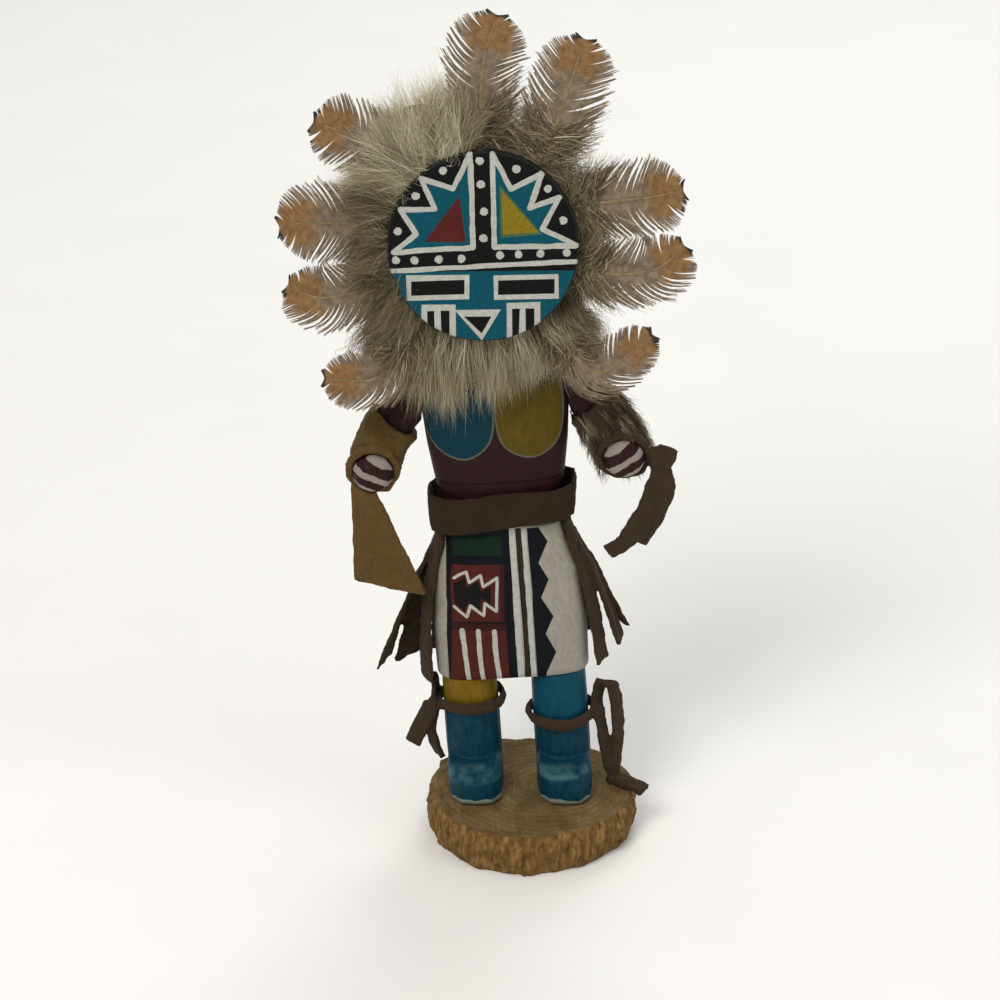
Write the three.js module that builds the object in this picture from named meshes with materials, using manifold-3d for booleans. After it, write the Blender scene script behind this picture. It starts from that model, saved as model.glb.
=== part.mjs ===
// A carved and painted sun kachina doll on a slice of wood: millimetres, +Z up, the doll looks along -Y.
// The origin is the centre of the wood slice's underside. Left and right are the doll's own.
import * as THREE from "three";
import { mergeVertices } from "three/addons/utils/BufferGeometryUtils.js";
import Module from "manifold-3d";

const wasm = await Module();
wasm.setup();

// ---- driving dimensions ------------------------------------------------------------------------
const GAP = 0.3; // clearance between pieces that touch
const BASE = { radius: 24, height: 10.06 };
const LEAN = THREE.MathUtils.degToRad(3.6); // the whole figure leans to its right
const FIGURE_FOOT = { x: -2.05, y: 3.4 }; // where the figure's axis meets the top of the base
const LEG = { spread: 10.1, radius: 6.15, hem: 29.1 };
const FOOT = { halfWidth: 6.25, toe: -14, heel: 6.2, toeHeight: 7.1, instep: 8.4 };
const SHOULDER = { x: 14.2, z: 98.5 };
const ARM_RADIUS = 4.4;
const ARM_ROWS = 14;
const BELT = { low: 66, high: 75.6, thick: 2.1 };
const MASK = { radius: 20.2, thick: 4, forward: -13.4, height: 134.8, tilt: THREE.MathUtils.degToRad(10) };
const FEATHER = { thick: 0.7, front: 4.75, back: 5.95, root: 14 };
const RUFF = { front: 6.7, back: 15.5, inner: 10 };
const LACE = { width: 3.4, thick: 1.4 };
const FLAP = { top: 70, slit: 60, stand: 0.75, thick: 1, turn: 0.16, spread: 0.46, strip: 4.2 };

// The strips of each fringe: where on the flap each hangs, how far it splays and how low it reaches.
const FRINGE = {
  right: [
    { turn: -0.34, flare: 2.6, low: 28.9, twist: 0 },
    { turn: -0.11, flare: 11.4, low: 31.2, twist: 2 },
    { turn: 0.12, flare: 8, low: 30, twist: 1.4 },
    { turn: 0.35, flare: 3.4, low: 30.5, twist: 0 },
  ],
  left: [
    { turn: -0.34, flare: 2.8, low: 30.9, twist: 0 },
    { turn: -0.11, flare: 6.4, low: 33.6, twist: 1.4 },
    { turn: 0.12, flare: 9.2, low: 35.6, twist: 2 },
    { turn: 0.35, flare: 4, low: 33, twist: 0 },
  ],
};

// The long hair below the mask: root, tip and reach below the mask's middle.
const BEARD = [
  { x: -17, tip: -24, reach: 33, width: 9 },
  { x: -14, tip: -18.5, reach: 38, width: 8 },
  { x: -11, tip: -13, reach: 37, width: 8 },
  { x: -7, tip: -8.5, reach: 40, width: 8 },
  { x: -3, tip: -3.5, reach: 38.5, width: 8 },
  { x: 1, tip: 1.5, reach: 36.5, width: 8 },
  { x: 5, tip: 6.5, reach: 36, width: 8 },
  { x: 9, tip: 11.5, reach: 33, width: 8 },
  { x: 13, tip: 16.5, reach: 30, width: 8 },
];

// Width of a feather's vane along its length, as shares: quill, down, vane and round tip.
const VANE = [
  [0, 0.09],
  [0.11, 0.09],
  [0.2, 0.6],
  [0.45, 0.88],
  [0.7, 1],
  [0.86, 0.92],
  [0.94, 0.7],
  [1, 0.3],
];

// Each feather's shaft in the plane of the mask, from the mask's middle; they lie in two layers.
const FEATHERS = {
  top: { path: [[0.6, 16], [1.1, 27], [2.6, 38.5], [6, 48]], width: 17, layer: "back" },
  upper_left: { path: [[10.6, 13], [15, 20], [20, 32], [24, 42]], width: 17, layer: "front" },
  side_left: { path: [[13.5, 4], [22, 6.5], [35, 7.5], [43, 8.8]], width: 17, layer: "back" },
  lower_left: { path: [[13.5, -3.5], [25, -8], [36, -7.6], [42.5, -2.5]], width: 15, layer: "front" },
  bottom_left: { path: [[13, -13.5], [17, -24], [23.5, -29.5], [35, -21.5]], width: 12, layer: "back" },
  upper_right: { path: [[-10.6, 12.6], [-16, 18], [-25, 24], [-34, 28]], width: 16, layer: "front" },
  side_right: { path: [[-13.5, 3], [-24, 5], [-36, 6.5], [-43, 6]], width: 17, layer: "back" },
  lower_right: { path: [[-13.3, -4], [-24, -8], [-35, -9.5], [-42, -6]], width: 15, layer: "front" },
  bottom_right: { path: [[-13, -12.5], [-18, -21], [-25, -28], [-36, -27]], width: 13, layer: "back" },
};

// Height, half width and half depth of the carved body: kilt, waist, chest, shoulders, neck and head.
const BODY_PROFILE = [
  [29.4, 16.7, 6.6],
  [30.2, 17.15, 7.05],
  [43, 17.35, 7.2],
  [55, 16.3, 7],
  [62, 13.8, 6.4],
  [66, 13, 6],
  [74, 13, 6],
  [76.5, 14.2, 6.2],
  [86, 15.5, 6.6],
  [95, 16.2, 7],
  [100, 15.8, 6.9],
  [103, 13.6, 6.4],
  [104.6, 9.6, 6],
  [108, 7.6, 6.4],
  [111, 8.6, 8],
  [115, 11.2, 10.6],
  [124, 11.8, 11.4],
  [140, 11.4, 11],
  [146, 9, 8.8],
  [149, 4.6, 4.6],
];
const HEAD_BOTTOM = 108;

const COLOR = {
  wood: 0xa88a5a,
  maroon: 0x4a2c2c,
  blue: 0x1a7f98,
  yellow: 0xb08f2a,
  mask: 0x1f8294,
  suede: 0x5a4a3a,
  tanHide: 0x8a6d45,
  greyHide: 0x6d6152,
  fur: 0xb9b193,
  feather: 0x8d7558,
};

// ---- shaping helpers ---------------------------------------------------------------------------
const { sin, cos, abs, hypot, atan2, PI } = Math;
const lerp = THREE.MathUtils.lerp;
const vec = (x, y, z) => new THREE.Vector3(x, y, z);

/** Moves every corner of a geometry to where map(corner) says. */
function shaped(geometry, map) {
  const corners = geometry.attributes.position;
  const corner = new THREE.Vector3();
  for (let i = 0; i < corners.count; i++) {
    corner.fromBufferAttribute(corners, i);
    const moved = map(corner);
    corners.setXYZ(i, moved.x, moved.y, moved.z);
  }
  return geometry;
}

/** A closed bar of rings stacked along t (0 to 1); reach is 0 at the middle of an end and 1 on the skin. */
function bar(sides, steps, place) {
  const skin = new THREE.CylinderGeometry(1, 1, 1, sides, steps);
  return shaped(skin, (p) => place(p.y + 0.5, atan2(-p.z, p.x), Math.min(1, hypot(p.x, p.z))));
}

/** A closed hoop: angle goes around it, and (out, up) is the corner of its round section, each -1 to 1. */
function hoop(around, across, place) {
  const ring = new THREE.TorusGeometry(2, 1, across, around);
  return shaped(ring, (p) => place(atan2(p.y, p.x), hypot(p.x, p.y) - 2, p.z));
}

/** A flat strip: across -0.5 to 0.5, along 0 to 1, through -0.5 to 0.5. */
function strip(acrossSteps, alongSteps, place) {
  const slab = new THREE.BoxGeometry(1, 1, 1, acrossSteps, alongSteps, 1);
  return shaped(slab, (p) => place(p.x, p.y + 0.5, p.z));
}

/** Distance from the axis to the edge of a rounded rectangle, the squarer the higher the power. */
function roundedReach(angle, halfWidth, halfDepth, power) {
  const a = abs(cos(angle)) / halfWidth;
  const b = abs(sin(angle)) / halfDepth;
  return (a ** power + b ** power) ** (-1 / power);
}

/** A value between rows of [position, value, ...] by straight lines. */
function between(rows, at, column = 1) {
  for (let i = 1; i < rows.length; i++) {
    if (at > rows[i][0] && i < rows.length - 1) continue;
    const share = (at - rows[i - 1][0]) / (rows[i][0] - rows[i - 1][0]);
    return lerp(rows[i - 1][column], rows[i][column], THREE.MathUtils.clamp(share, 0, 1));
  }
}

/** The solid that manifold-3d joins and cuts. */
function solid(geometry) {
  const bare = geometry.clone();
  bare.deleteAttribute("normal");
  bare.deleteAttribute("uv");
  const merged = mergeVertices(bare, 1e-4);
  return new wasm.Manifold(
    new wasm.Mesh({
      numProp: 3,
      vertProperties: new Float32Array(merged.attributes.position.array),
      triVerts: new Uint32Array(merged.index.array),
    }),
  );
}

function joined(...geometries) {
  return geometries.map(solid).reduce((all, next) => all.add(next));
}

/** Drops the loose crumbs that a cut can leave. */
function largest(manifold) {
  return manifold.decompose().reduce((most, next) => (next.volume() > most.volume() ? next : most));
}

/** Turns a joined or cut solid back into a geometry. */
function geometryOf(manifold) {
  const mesh = manifold.getMesh();
  const geometry = new THREE.BufferGeometry();
  geometry.setAttribute("position", new THREE.BufferAttribute(new Float32Array(mesh.vertProperties), 3));
  geometry.setIndex(new THREE.BufferAttribute(new Uint32Array(mesh.triVerts), 1));
  geometry.computeVertexNormals();
  return geometry;
}

function piece(name, geometry, color, roughness = 0.8) {
  const material = new THREE.MeshStandardMaterial({ color, roughness, metalness: 0 });
  const mesh = new THREE.Mesh(geometry, material);
  mesh.name = name;
  return mesh;
}

// ---- base --------------------------------------------------------------------------------------
/** A slice sawn from a branch: flat above and below, its rim uneven where the bark came off. */
function baseSlice() {
  const rim = (angle, t) =>
    BASE.radius +
    0.55 * sin(3 * angle + 1) +
    0.35 * sin(11 * angle + 5 * t) +
    0.3 * sin(23 * angle - 9 * t) -
    1.1 * (abs(2 * t - 1) ** 6);
  return bar(48, 3, (t, angle, reach) => {
    const radius = reach * rim(angle, t);
    return vec(radius * cos(angle), radius * sin(angle), t * BASE.height);
  });
}

// ---- legs and boots ----------------------------------------------------------------------------
/** Height of the base's top at x, seen from the leaning figure. */
const floorAt = (x) => GAP - x * Math.tan(LEAN);

/** One leg with its boot, carved in one; side is +1 for the left leg. */
function leg(side) {
  const axis = side * LEG.spread;
  const shaft = bar(16, 3, (t, angle, reach) => {
    const swell = 1 + 0.04 * sin(PI * t);
    const radius = reach * LEG.radius * swell;
    const x = axis + radius * cos(angle);
    return vec(x, radius * sin(angle), lerp(floorAt(x) + 1, LEG.hem, t));
  });
  const middle = (FOOT.toe + FOOT.heel) / 2;
  const halfLength = (FOOT.heel - FOOT.toe) / 2;
  const edge = [
    [0, 0.93],
    [0.25, 1],
    [0.5, 1],
    [0.75, 0.98],
    [1, 0.89],
  ];
  const upper = [
    [FOOT.toe, FOOT.toeHeight],
    [-LEG.radius, FOOT.instep],
    [FOOT.heel, FOOT.instep],
  ];
  const boot = bar(18, 4, (t, angle, reach) => {
    const out = reach * between(edge, t) * roundedReach(angle, FOOT.halfWidth, halfLength, 3.2);
    const x = axis + out * cos(angle);
    const y = middle + out * sin(angle);
    const top = between(upper, y);
    const height = top * between([[0, 0], [0.25, 0.14], [0.75, 0.86], [1, 1]], t);
    return vec(x, y, floorAt(x) + height);
  });
  return geometryOf(joined(shaft, boot));
}

// ---- body --------------------------------------------------------------------------------------
/** Kilt, chest, neck and head as carved from one board; grow thickens it all round. */
function bodyForm(grow = 0) {
  const rows = BODY_PROFILE.length - 1;
  return bar(26, rows, (t, angle, reach) => {
    const row = Math.round(t * rows);
    const [height, halfWidth, halfDepth] = BODY_PROFILE[row];
    const power = height < HEAD_BOTTOM ? 3.4 : 2.2;
    const out = reach * roundedReach(angle, halfWidth + grow, halfDepth + grow, power);
    const end = row === 0 ? -grow : row === rows ? grow : 0;
    return vec(out * cos(angle), out * sin(angle), height + end);
  });
}

/** The body's half width and half depth at a height, from the same profile. */
const bodyHalf = (z) => [between(BODY_PROFILE, z, 1), between(BODY_PROFILE, z, 2)];

/** Places a point of the headdress, which tilts back with the mask, in the figure's own frame. */
function onHeaddress(x, y, z) {
  const up = z * cos(MASK.tilt) - y * sin(MASK.tilt);
  const back = y * cos(MASK.tilt) + z * sin(MASK.tilt);
  return vec(x, MASK.forward + back, MASK.height + up);
}

/** The head is planed flat where the mask sits on it. */
function body() {
  const seat = bar(4, 1, (t, angle, reach) => {
    const half = 30 * reach;
    return onHeaddress(half * cos(angle), lerp(MASK.thick + GAP, -20, t), half * sin(angle));
  });
  return geometryOf(solid(bodyForm()).subtract(solid(seat)));
}

// ---- mask --------------------------------------------------------------------------------------
/** A flat disc with a rounded edge; its front is at y = 0 of the headdress. */
function sunMask() {
  const edge = 0.7;
  const outline = [
    new THREE.Vector2(0, 0),
    new THREE.Vector2(MASK.radius - edge, 0),
    new THREE.Vector2(MASK.radius, edge),
    new THREE.Vector2(MASK.radius, MASK.thick),
    new THREE.Vector2(0, MASK.thick),
  ];
  return new THREE.LatheGeometry(outline, 48);
}

// ---- arms --------------------------------------------------------------------------------------
/** Shoulder, upper arm, elbow and fist; the forearm reaches forward. */
function armPath(side) {
  const points = [
    [SHOULDER.x - 2, 0, SHOULDER.z + 1.5],
    [SHOULDER.x + 5.5, 0.2, 93.6],
    [24.6, -0.6, 87.6],
    [27, -5.4, 84.2],
    [27.4, -12.4, 82.4],
  ];
  return new THREE.CatmullRomCurve3(points.map(([x, y, z]) => vec(side * x, y, z)));
}

/** A point beside a curve: angle and distance around it, with (side, 0, 1) as the steady reference. */
function beside(curve, t, angle, distance, side) {
  const along = curve.getTangentAt(THREE.MathUtils.clamp(t, 0, 1));
  const second = vec(along.x, along.y, along.z).cross(vec(side, 0, 1)).normalize();
  const first = second.clone().cross(along);
  const centre = curve.getPointAt(THREE.MathUtils.clamp(t, 0, 1));
  return centre.addScaledVector(first, distance * cos(angle)).addScaledVector(second, distance * sin(angle));
}

/** The arm narrows a little at the wrist and ends in a rounded fist. */
function armRadius(t) {
  return between([[0, 4.3], [0.5, ARM_RADIUS], [0.86, 4.1], [0.93, 4.7], [0.975, 4.4], [1, 3.3]], t);
}

/** The arm's form between two shares of its length; grow(t, angle) thickens it. */
function armForm(side, from = 0, to = 1, grow = () => 0) {
  const path = armPath(side);
  const rows = Math.max(1, Math.round((to - from) * ARM_ROWS));
  return bar(10, rows, (share, angle, reach) => {
    const t = lerp(from, to, share);
    return beside(path, t, angle, reach * (armRadius(t) + grow(t, angle)), side);
  });
}

function arm(side, bodyCutter) {
  return geometryOf(solid(armForm(side)).subtract(bodyCutter));
}

/** A sleeve around the arm from one share of its length to another, uneven as hide is. */
function sleeve(side, from, to, thick) {
  const skin = (t, angle) => GAP + thick + 0.25 * sin(3 * angle + 14 * t) + 0.2 * sin(5 * angle - 20 * t);
  const clear = armForm(side, 0, 1, () => GAP);
  return geometryOf(solid(armForm(side, from, to, skin)).subtract(solid(clear)));
}

// ---- suede: belt, fringes, strips and laces ----------------------------------------------------
/** How far the flap tucked in at each hip pushes the belt out. */
const tuckDepth = FLAP.stand + FLAP.thick + GAP;
const hipTuck = (angle) => tuckDepth * THREE.MathUtils.smoothstep(abs(cos(angle)), 0.5, 0.78);

/** Wound about the waist, with a crease along it and its lower edge rising towards the left hip. */
function belt() {
  const middle = (BELT.low + BELT.high) / 2;
  const half = (BELT.high - BELT.low) / 2;
  return hoop(28, 6, (angle, out, up) => {
    const z = middle + up * half + lerp(1.1, 0.5, (up + 1) / 2) * cos(angle);
    const [halfWidth, halfDepth] = bodyHalf(z);
    const inner = roundedReach(angle, halfWidth, halfDepth, 3.4) + GAP + hipTuck(angle);
    const crease = 0.5 * Math.exp(-((up + 0.3) ** 2) * 30);
    const thick = BELT.thick * (1 - 0.45 * abs(cos(angle)) ** 3) - crease;
    const distance = inner + ((out + 1) / 2) * thick;
    return vec(distance * cos(angle), distance * sin(angle), z);
  });
}

/** A ribbon along a curve through the points; its broad face looks along facing. */
function ribbon(points, width, thick, facing, steps = 6) {
  const curve = new THREE.CatmullRomCurve3(points.map(([x, y, z]) => vec(x, y, z)));
  const widthAt = typeof width === "function" ? width : () => width;
  return strip(1, steps, (across, along, through) => {
    const tangent = curve.getTangentAt(along);
    const crosswise = tangent.clone().cross(facing).normalize();
    const normal = crosswise.clone().cross(tangent);
    return curve
      .getPointAt(along)
      .addScaledVector(crosswise, across * widthAt(along))
      .addScaledVector(normal, through * thick);
  });
}

/** A lump where a strip is knotted. */
function knot(x, y, z, wide, deep, tall) {
  const lump = new THREE.SphereGeometry(1, 6, 4);
  return shaped(lump, (p) => vec(x + p.x * wide, y + p.y * deep, z + p.z * tall));
}

/** The flap of fringe at one hip: tucked under the belt, cut into strips that splay outwards. */
function fringe(side, strips) {
  const skinAt = (turn, z) => {
    const [halfWidth, halfDepth] = bodyHalf(z);
    return roundedReach(turn, halfWidth, halfDepth, 3.4) + FLAP.stand;
  };
  const onHip = (turn, out, z) => vec(side * out * cos(turn), out * sin(turn), z);
  const flip = (across) => side * across;
  const head = strip(8, 2, (across, along, through) => {
    const turn = FLAP.turn + flip(across) * 2 * FLAP.spread;
    const z = lerp(FLAP.top, FLAP.slit, along);
    return onHip(turn, skinAt(turn, z) + (0.5 - through) * FLAP.thick, z);
  });
  const tails = strips.map(({ turn, flare, low, twist }) =>
    strip(1, 3, (across, along, through) => {
      const z = lerp(FLAP.slit + 3, low, along);
      const swing = FLAP.turn + turn + (flip(across) * FLAP.strip) / 15;
      const fan = flare * along ** 1.3 + twist * across * along;
      return onHip(swing, skinAt(swing, z) + fan + (0.5 - through) * FLAP.thick, z);
    }),
  );
  return geometryOf(joined(head, ...tails));
}

/** A band of suede once around the arm, where the strip or flap is tied on. */
const wristBand = (side) => sleeve(side, 0.806, 0.9, 1.4);

function leftWristStrip() {
  const front = vec(0.3, -1, 0.1);
  const spread = (along) => lerp(3, 6.8, Math.min(1, 3 * along));
  const hanging = [[34.4, -8.8, 82.4], [35.4, -8.8, 77.6], [33.6, -8.6, 71], [28.4, -9, 63]];
  const twisted = ribbon(hanging, spread, 1.2, front);
  const end = ribbon([[31.5, -9.5, 68], [28, -9.8, 64], [22.6, -9.8, 60.8]], 3.8, 1.1, front, 4);
  const stub = ribbon([[34.4, -8.8, 83.3], [38.2, -8.8, 81.4]], 4.4, 1.8, front, 2);
  return geometryOf(joined(wristBand(1), knot(34.4, -8.6, 83, 2.3, 1.7, 2.4), twisted, end, stub));
}

/** A wide piece of pale hide hangs from the right wrist, its free corner pointing at the kilt. */
function rightWristFlap() {
  const edge = { outer: [[-32.4, 80.2], [-33.4, 57.4]], inner: [[-27, 78.6], [-17.8, 53.4]] };
  const along2 = ([[x1, z1], [x2, z2]], share) => [lerp(x1, x2, share), lerp(z1, z2, share)];
  const flap = strip(4, 6, (across, along, through) => {
    const [x1, z1] = along2(edge.outer, along);
    const [x2, z2] = along2(edge.inner, along);
    const share = across + 0.5;
    const fold = 1.6 * sin(PI * share) * (1 - 0.3 * along) + 1.2 * share ** 3;
    return vec(lerp(x1, x2, share), -8.2 - fold - 1.2 * along + through * 1.2, lerp(z1, z2, share));
  });
  const clear = armForm(-1, 0, 1, () => GAP);
  return geometryOf(largest(joined(wristBand(-1), flap).subtract(solid(clear))));
}

/** A lace once around the ankle; the ends hang from its knot on the outside. */
function ankleLace(side, z, ends) {
  const loop = hoop(14, 4, (angle, out, up) => {
    const distance = LEG.radius * 1.045 + GAP + ((out + 1) / 2) * LACE.thick;
    const droop = 0.35 * sin(2 * angle + side);
    const level = z + droop + (up * LACE.width) / 2;
    return vec(side * LEG.spread + distance * cos(angle), distance * sin(angle), level);
  });
  return geometryOf(joined(loop, ...ends));
}

function rightAnkleTie() {
  const side = vec(-1, 0, 0);
  const bow = [[-18.6, -1.6, 21], [-18.4, -0.8, 25], [-17.9, 1.2, 27], [-17.9, 2.6, 24], [-17.9, 2.2, 20.5]];
  const frontEnd = [[-19, -2.4, 21.6], [-21.4, -2.8, 17.6], [-24, -3, 12.4]];
  const backEnd = [[-18.8, -1.8, 21], [-19.8, -0.6, 14.6], [-18.4, 0.6, 7]];
  return ankleLace(-1, 22.1, [
    knot(-18.7, -2.2, 21.4, 1.7, 1.8, 2.2),
    ribbon(bow, 3, 1.2, side),
    ribbon(frontEnd, 4, 1.2, vec(-0.5, -1, 0.2), 4),
    ribbon(backEnd, 3.8, 1.2, vec(-1, -0.6, 0), 4),
  ]);
}

/** Its long bow hangs to the base, and one end lies out across the base's rim. */
function leftAnkleTie() {
  const out = vec(0.9, -0.6, 0);
  const rising = [[18.4, -1.4, 17.6], [19, 0.4, 23]];
  const bow = [...rising, [21.6, 0.2, 23.6], [23, -1, 18.5], [22.6, -1.4, 9], [21.4, -1.5, 0.6]];
  const hanging = [[18.8, -2.2, 17.4], [19.6, -3, 11], [20.2, -2.6, 5], [21.2, -2, 0.4]];
  const lying = [[20.4, -1.2, -0.05], [23.4, -3.6, -0.2], [26.2, -5.6, -0.5], [28.2, -7, -1.1]];
  return ankleLace(1, 17.2, [
    knot(18.6, -1.8, 17.6, 1.7, 1.8, 2.2),
    ribbon(bow, 4, 1.3, out, 10),
    ribbon(hanging, 3.4, 1.2, out, 5),
    ribbon(lying, 4, 1.3, vec(0, 0, 1), 5),
  ]);
}

// ---- fur and feathers --------------------------------------------------------------------------
/** How far the fur stands out from the middle of the mask, by angle in degrees. */
const RUFF_EDGE = [
  [-90, 25],
  [-60, 27],
  [-30, 29],
  [30, 28],
  [75, 28.5],
  [95, 35],
  [118, 41],
  [140, 38],
  [170, 32],
  [205, 33],
  [235, 33],
  [270, 25],
];

/** One lock of hair from root to tip, given in the headdress as [x, y, z]. */
function lock(root, tip, width) {
  const start = onHeaddress(...root);
  const end = onHeaddress(...tip);
  const along = end.clone().sub(start).normalize();
  const second = along.clone().cross(vec(0, 1, 0)).normalize();
  const first = second.clone().cross(along);
  return bar(4, 2, (t, angle, reach) => {
    const radius = reach * width * between([[0, 0.5], [0.5, 0.42], [1, 0.06]], t);
    return start
      .clone()
      .lerp(end, t)
      .addScaledVector(first, 0.45 * radius * cos(angle))
      .addScaledVector(second, radius * sin(angle));
  });
}

/** The collar of fur behind the mask, with the long pale hair that falls from it over the chest. */
function furRuff(bodyCutter) {
  const middle = (RUFF.front + RUFF.back) / 2;
  const half = (RUFF.back - RUFF.front) / 2;
  const edgeAt = (angle) => between(RUFF_EDGE, (((angle / PI) * 180 + 450) % 360) - 90);
  const ring = hoop(20, 5, (angle, out, up) => {
    const edge = edgeAt(angle) - 2.5 + 0.9 * sin(9 * angle) + 0.6 * sin(17 * angle + 2);
    const distance = lerp(RUFF.inner, edge, (out + 1) / 2);
    return onHeaddress(distance * cos(angle), middle - half * up, distance * sin(angle));
  });
  const locks = [];
  for (let i = 0; i < 12; i++) {
    const angle = THREE.MathUtils.degToRad(-50 + i * 24);
    const reach = edgeAt(angle) + 1.4 * sin(5 * i);
    const bend = angle + 0.1 * sin(3 * i);
    const depth = middle + 1.6 * sin(2 * i);
    const root = [0.62 * reach * cos(angle), depth, 0.62 * reach * sin(angle)];
    locks.push(lock(root, [reach * cos(bend), depth - 0.6, reach * sin(bend)], 9));
  }
  const beard = BEARD.map(({ x, tip, reach, width }) => lock([x, 8.6, -13], [tip, 9.3, -reach], width));
  return geometryOf(largest(joined(ring, ...locks, ...beard).subtract(bodyCutter)));
}

/** A breast feather: quill, vane with nicked edges and a round tip, its path drawn in the headdress. */
function feather({ path, width, layer }) {
  const curve = new THREE.CatmullRomCurve3(path.map(([x, z]) => vec(x, 0, z)));
  const steps = 9;
  return strip(2, steps, (across, along, through) => {
    const nick = 1 + 0.07 * (Math.round(along * steps) % 2 ? 1 : -1);
    const wide = width * nick * between(VANE, along);
    const tangent = curve.getTangentAt(along);
    const centre = curve.getPointAt(along);
    const camber = 0.5 * abs(across) * between(VANE, along);
    const forward = 1.6 * along ** 3;
    return vec(
      centre.x + across * wide * tangent.z,
      FEATHER[layer] + camber - forward - through * FEATHER.thick,
      centre.z - across * wide * tangent.x,
    );
  });
}

// ---- the doll ----------------------------------------------------------------------------------
const figure = new THREE.Group();
figure.position.set(FIGURE_FOOT.x, FIGURE_FOOT.y, BASE.height);
figure.rotation.y = -LEAN;

const headdress = new THREE.Group();
headdress.position.set(0, MASK.forward, MASK.height);
headdress.rotation.x = -MASK.tilt;
figure.add(headdress);

const bodyCutter = solid(bodyForm(1.3 * GAP));

figure.add(
  piece("right_leg", leg(-1), COLOR.yellow, 0.6),
  piece("left_leg", leg(1), COLOR.blue, 0.6),
  piece("body", body(), COLOR.maroon, 0.6),
  piece("right_arm", arm(-1, bodyCutter), COLOR.maroon, 0.6),
  piece("left_arm", arm(1, bodyCutter), COLOR.maroon, 0.6),
  piece("belt", belt(), COLOR.suede, 0.95),
  piece("right_fringe", fringe(-1, FRINGE.right), COLOR.suede, 0.95),
  piece("left_fringe", fringe(1, FRINGE.left), COLOR.suede, 0.95),
  piece("right_arm_cuff", sleeve(-1, 6 / ARM_ROWS, 11 / ARM_ROWS, 1.4), COLOR.tanHide, 0.95),
  piece("left_arm_cuff", sleeve(1, 5 / ARM_ROWS, 11 / ARM_ROWS, 1.4), COLOR.greyHide, 0.95),
  piece("right_wrist_flap", rightWristFlap(), COLOR.tanHide, 0.95),
  piece("left_wrist_strip", leftWristStrip(), COLOR.suede, 0.95),
  piece("right_ankle_tie", rightAnkleTie(), COLOR.suede, 0.95),
  piece("left_ankle_tie", leftAnkleTie(), COLOR.suede, 0.95),
  piece("fur_ruff", furRuff(bodyCutter), COLOR.fur, 1),
);

headdress.add(piece("sun_mask", sunMask(), COLOR.mask, 0.6));
for (const [name, drawn] of Object.entries(FEATHERS)) {
  headdress.add(piece(`feather_${name}`, feather(drawn), COLOR.feather, 0.9));
}

const doll = new THREE.Group();
doll.add(piece("base", baseSlice(), COLOR.wood, 0.9), figure);

export default doll;
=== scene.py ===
"""Looks of the sun kachina doll on its CAD frame. Lengths are millimetres; Blender gets metres."""
import math

import bpy
import numpy as np
from mathutils import Matrix, Vector
from mathutils.geometry import delaunay_2d_cdt
from mathutils.noise import fractal


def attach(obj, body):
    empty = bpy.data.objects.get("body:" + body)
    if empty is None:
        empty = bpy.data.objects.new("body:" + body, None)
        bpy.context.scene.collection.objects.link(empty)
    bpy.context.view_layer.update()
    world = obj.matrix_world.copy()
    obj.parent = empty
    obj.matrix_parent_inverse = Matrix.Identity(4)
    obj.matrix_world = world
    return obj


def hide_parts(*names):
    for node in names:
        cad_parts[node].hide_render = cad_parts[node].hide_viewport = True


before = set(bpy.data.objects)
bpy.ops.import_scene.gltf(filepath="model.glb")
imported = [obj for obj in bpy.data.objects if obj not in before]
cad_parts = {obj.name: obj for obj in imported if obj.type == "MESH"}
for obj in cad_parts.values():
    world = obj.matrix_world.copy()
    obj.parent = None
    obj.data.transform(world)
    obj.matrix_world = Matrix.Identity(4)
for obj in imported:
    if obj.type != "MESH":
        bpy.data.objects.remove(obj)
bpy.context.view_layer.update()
MM = 0.001
TO_MM = 1000

# ---- frames of the figure and of its tilted headdress, as in the CAD ----
BASE_HEIGHT = 10.06
LEAN = math.radians(3.6)
TILT = math.radians(10)
MASK_FRONT, MASK_LEVEL = -13.4, 134.8
FIGURE = Matrix.Translation((-2.05, 3.4, BASE_HEIGHT)) @ Matrix.Rotation(-LEAN, 4, "Y")
HEADDRESS = FIGURE @ Matrix.Translation((0, MASK_FRONT, MASK_LEVEL)) @ Matrix.Rotation(-TILT, 4, "X")
WORLD = Matrix.Identity(4)

# Height, half width and half depth of the carved body, as in the CAD.
BODY_PROFILE = np.array([
    (29.4, 16.7, 6.6), (30.2, 17.15, 7.05), (43, 17.35, 7.2), (55, 16.3, 7), (62, 13.8, 6.4), (66, 13, 6),
    (74, 13, 6), (76.5, 14.2, 6.2), (86, 15.5, 6.6), (95, 16.2, 7), (100, 15.8, 6.9), (103, 13.6, 6.4),
    (104.6, 9.6, 6), (108, 7.6, 6.4), (111, 8.6, 8), (115, 11.2, 10.6), (124, 11.8, 11.4), (140, 11.4, 11),
    (146, 9, 8.8), (149, 4.6, 4.6),
])
MASK_RADIUS, MASK_THICK, MASK_EDGE, MASK_GAP = 20.2, 4.0, 0.7, 0.3


# ---- materials ----
def linear(level):
    """Linear value of one 8-bit sRGB level."""
    share = level / 255
    return share / 12.92 if level <= 10 else ((share + 0.055) / 1.055) ** 2.4


def srgb(r, g, b):
    """Linear colour of an 8-bit sRGB triple."""
    return linear(r), linear(g), linear(b), 1.0


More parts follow.
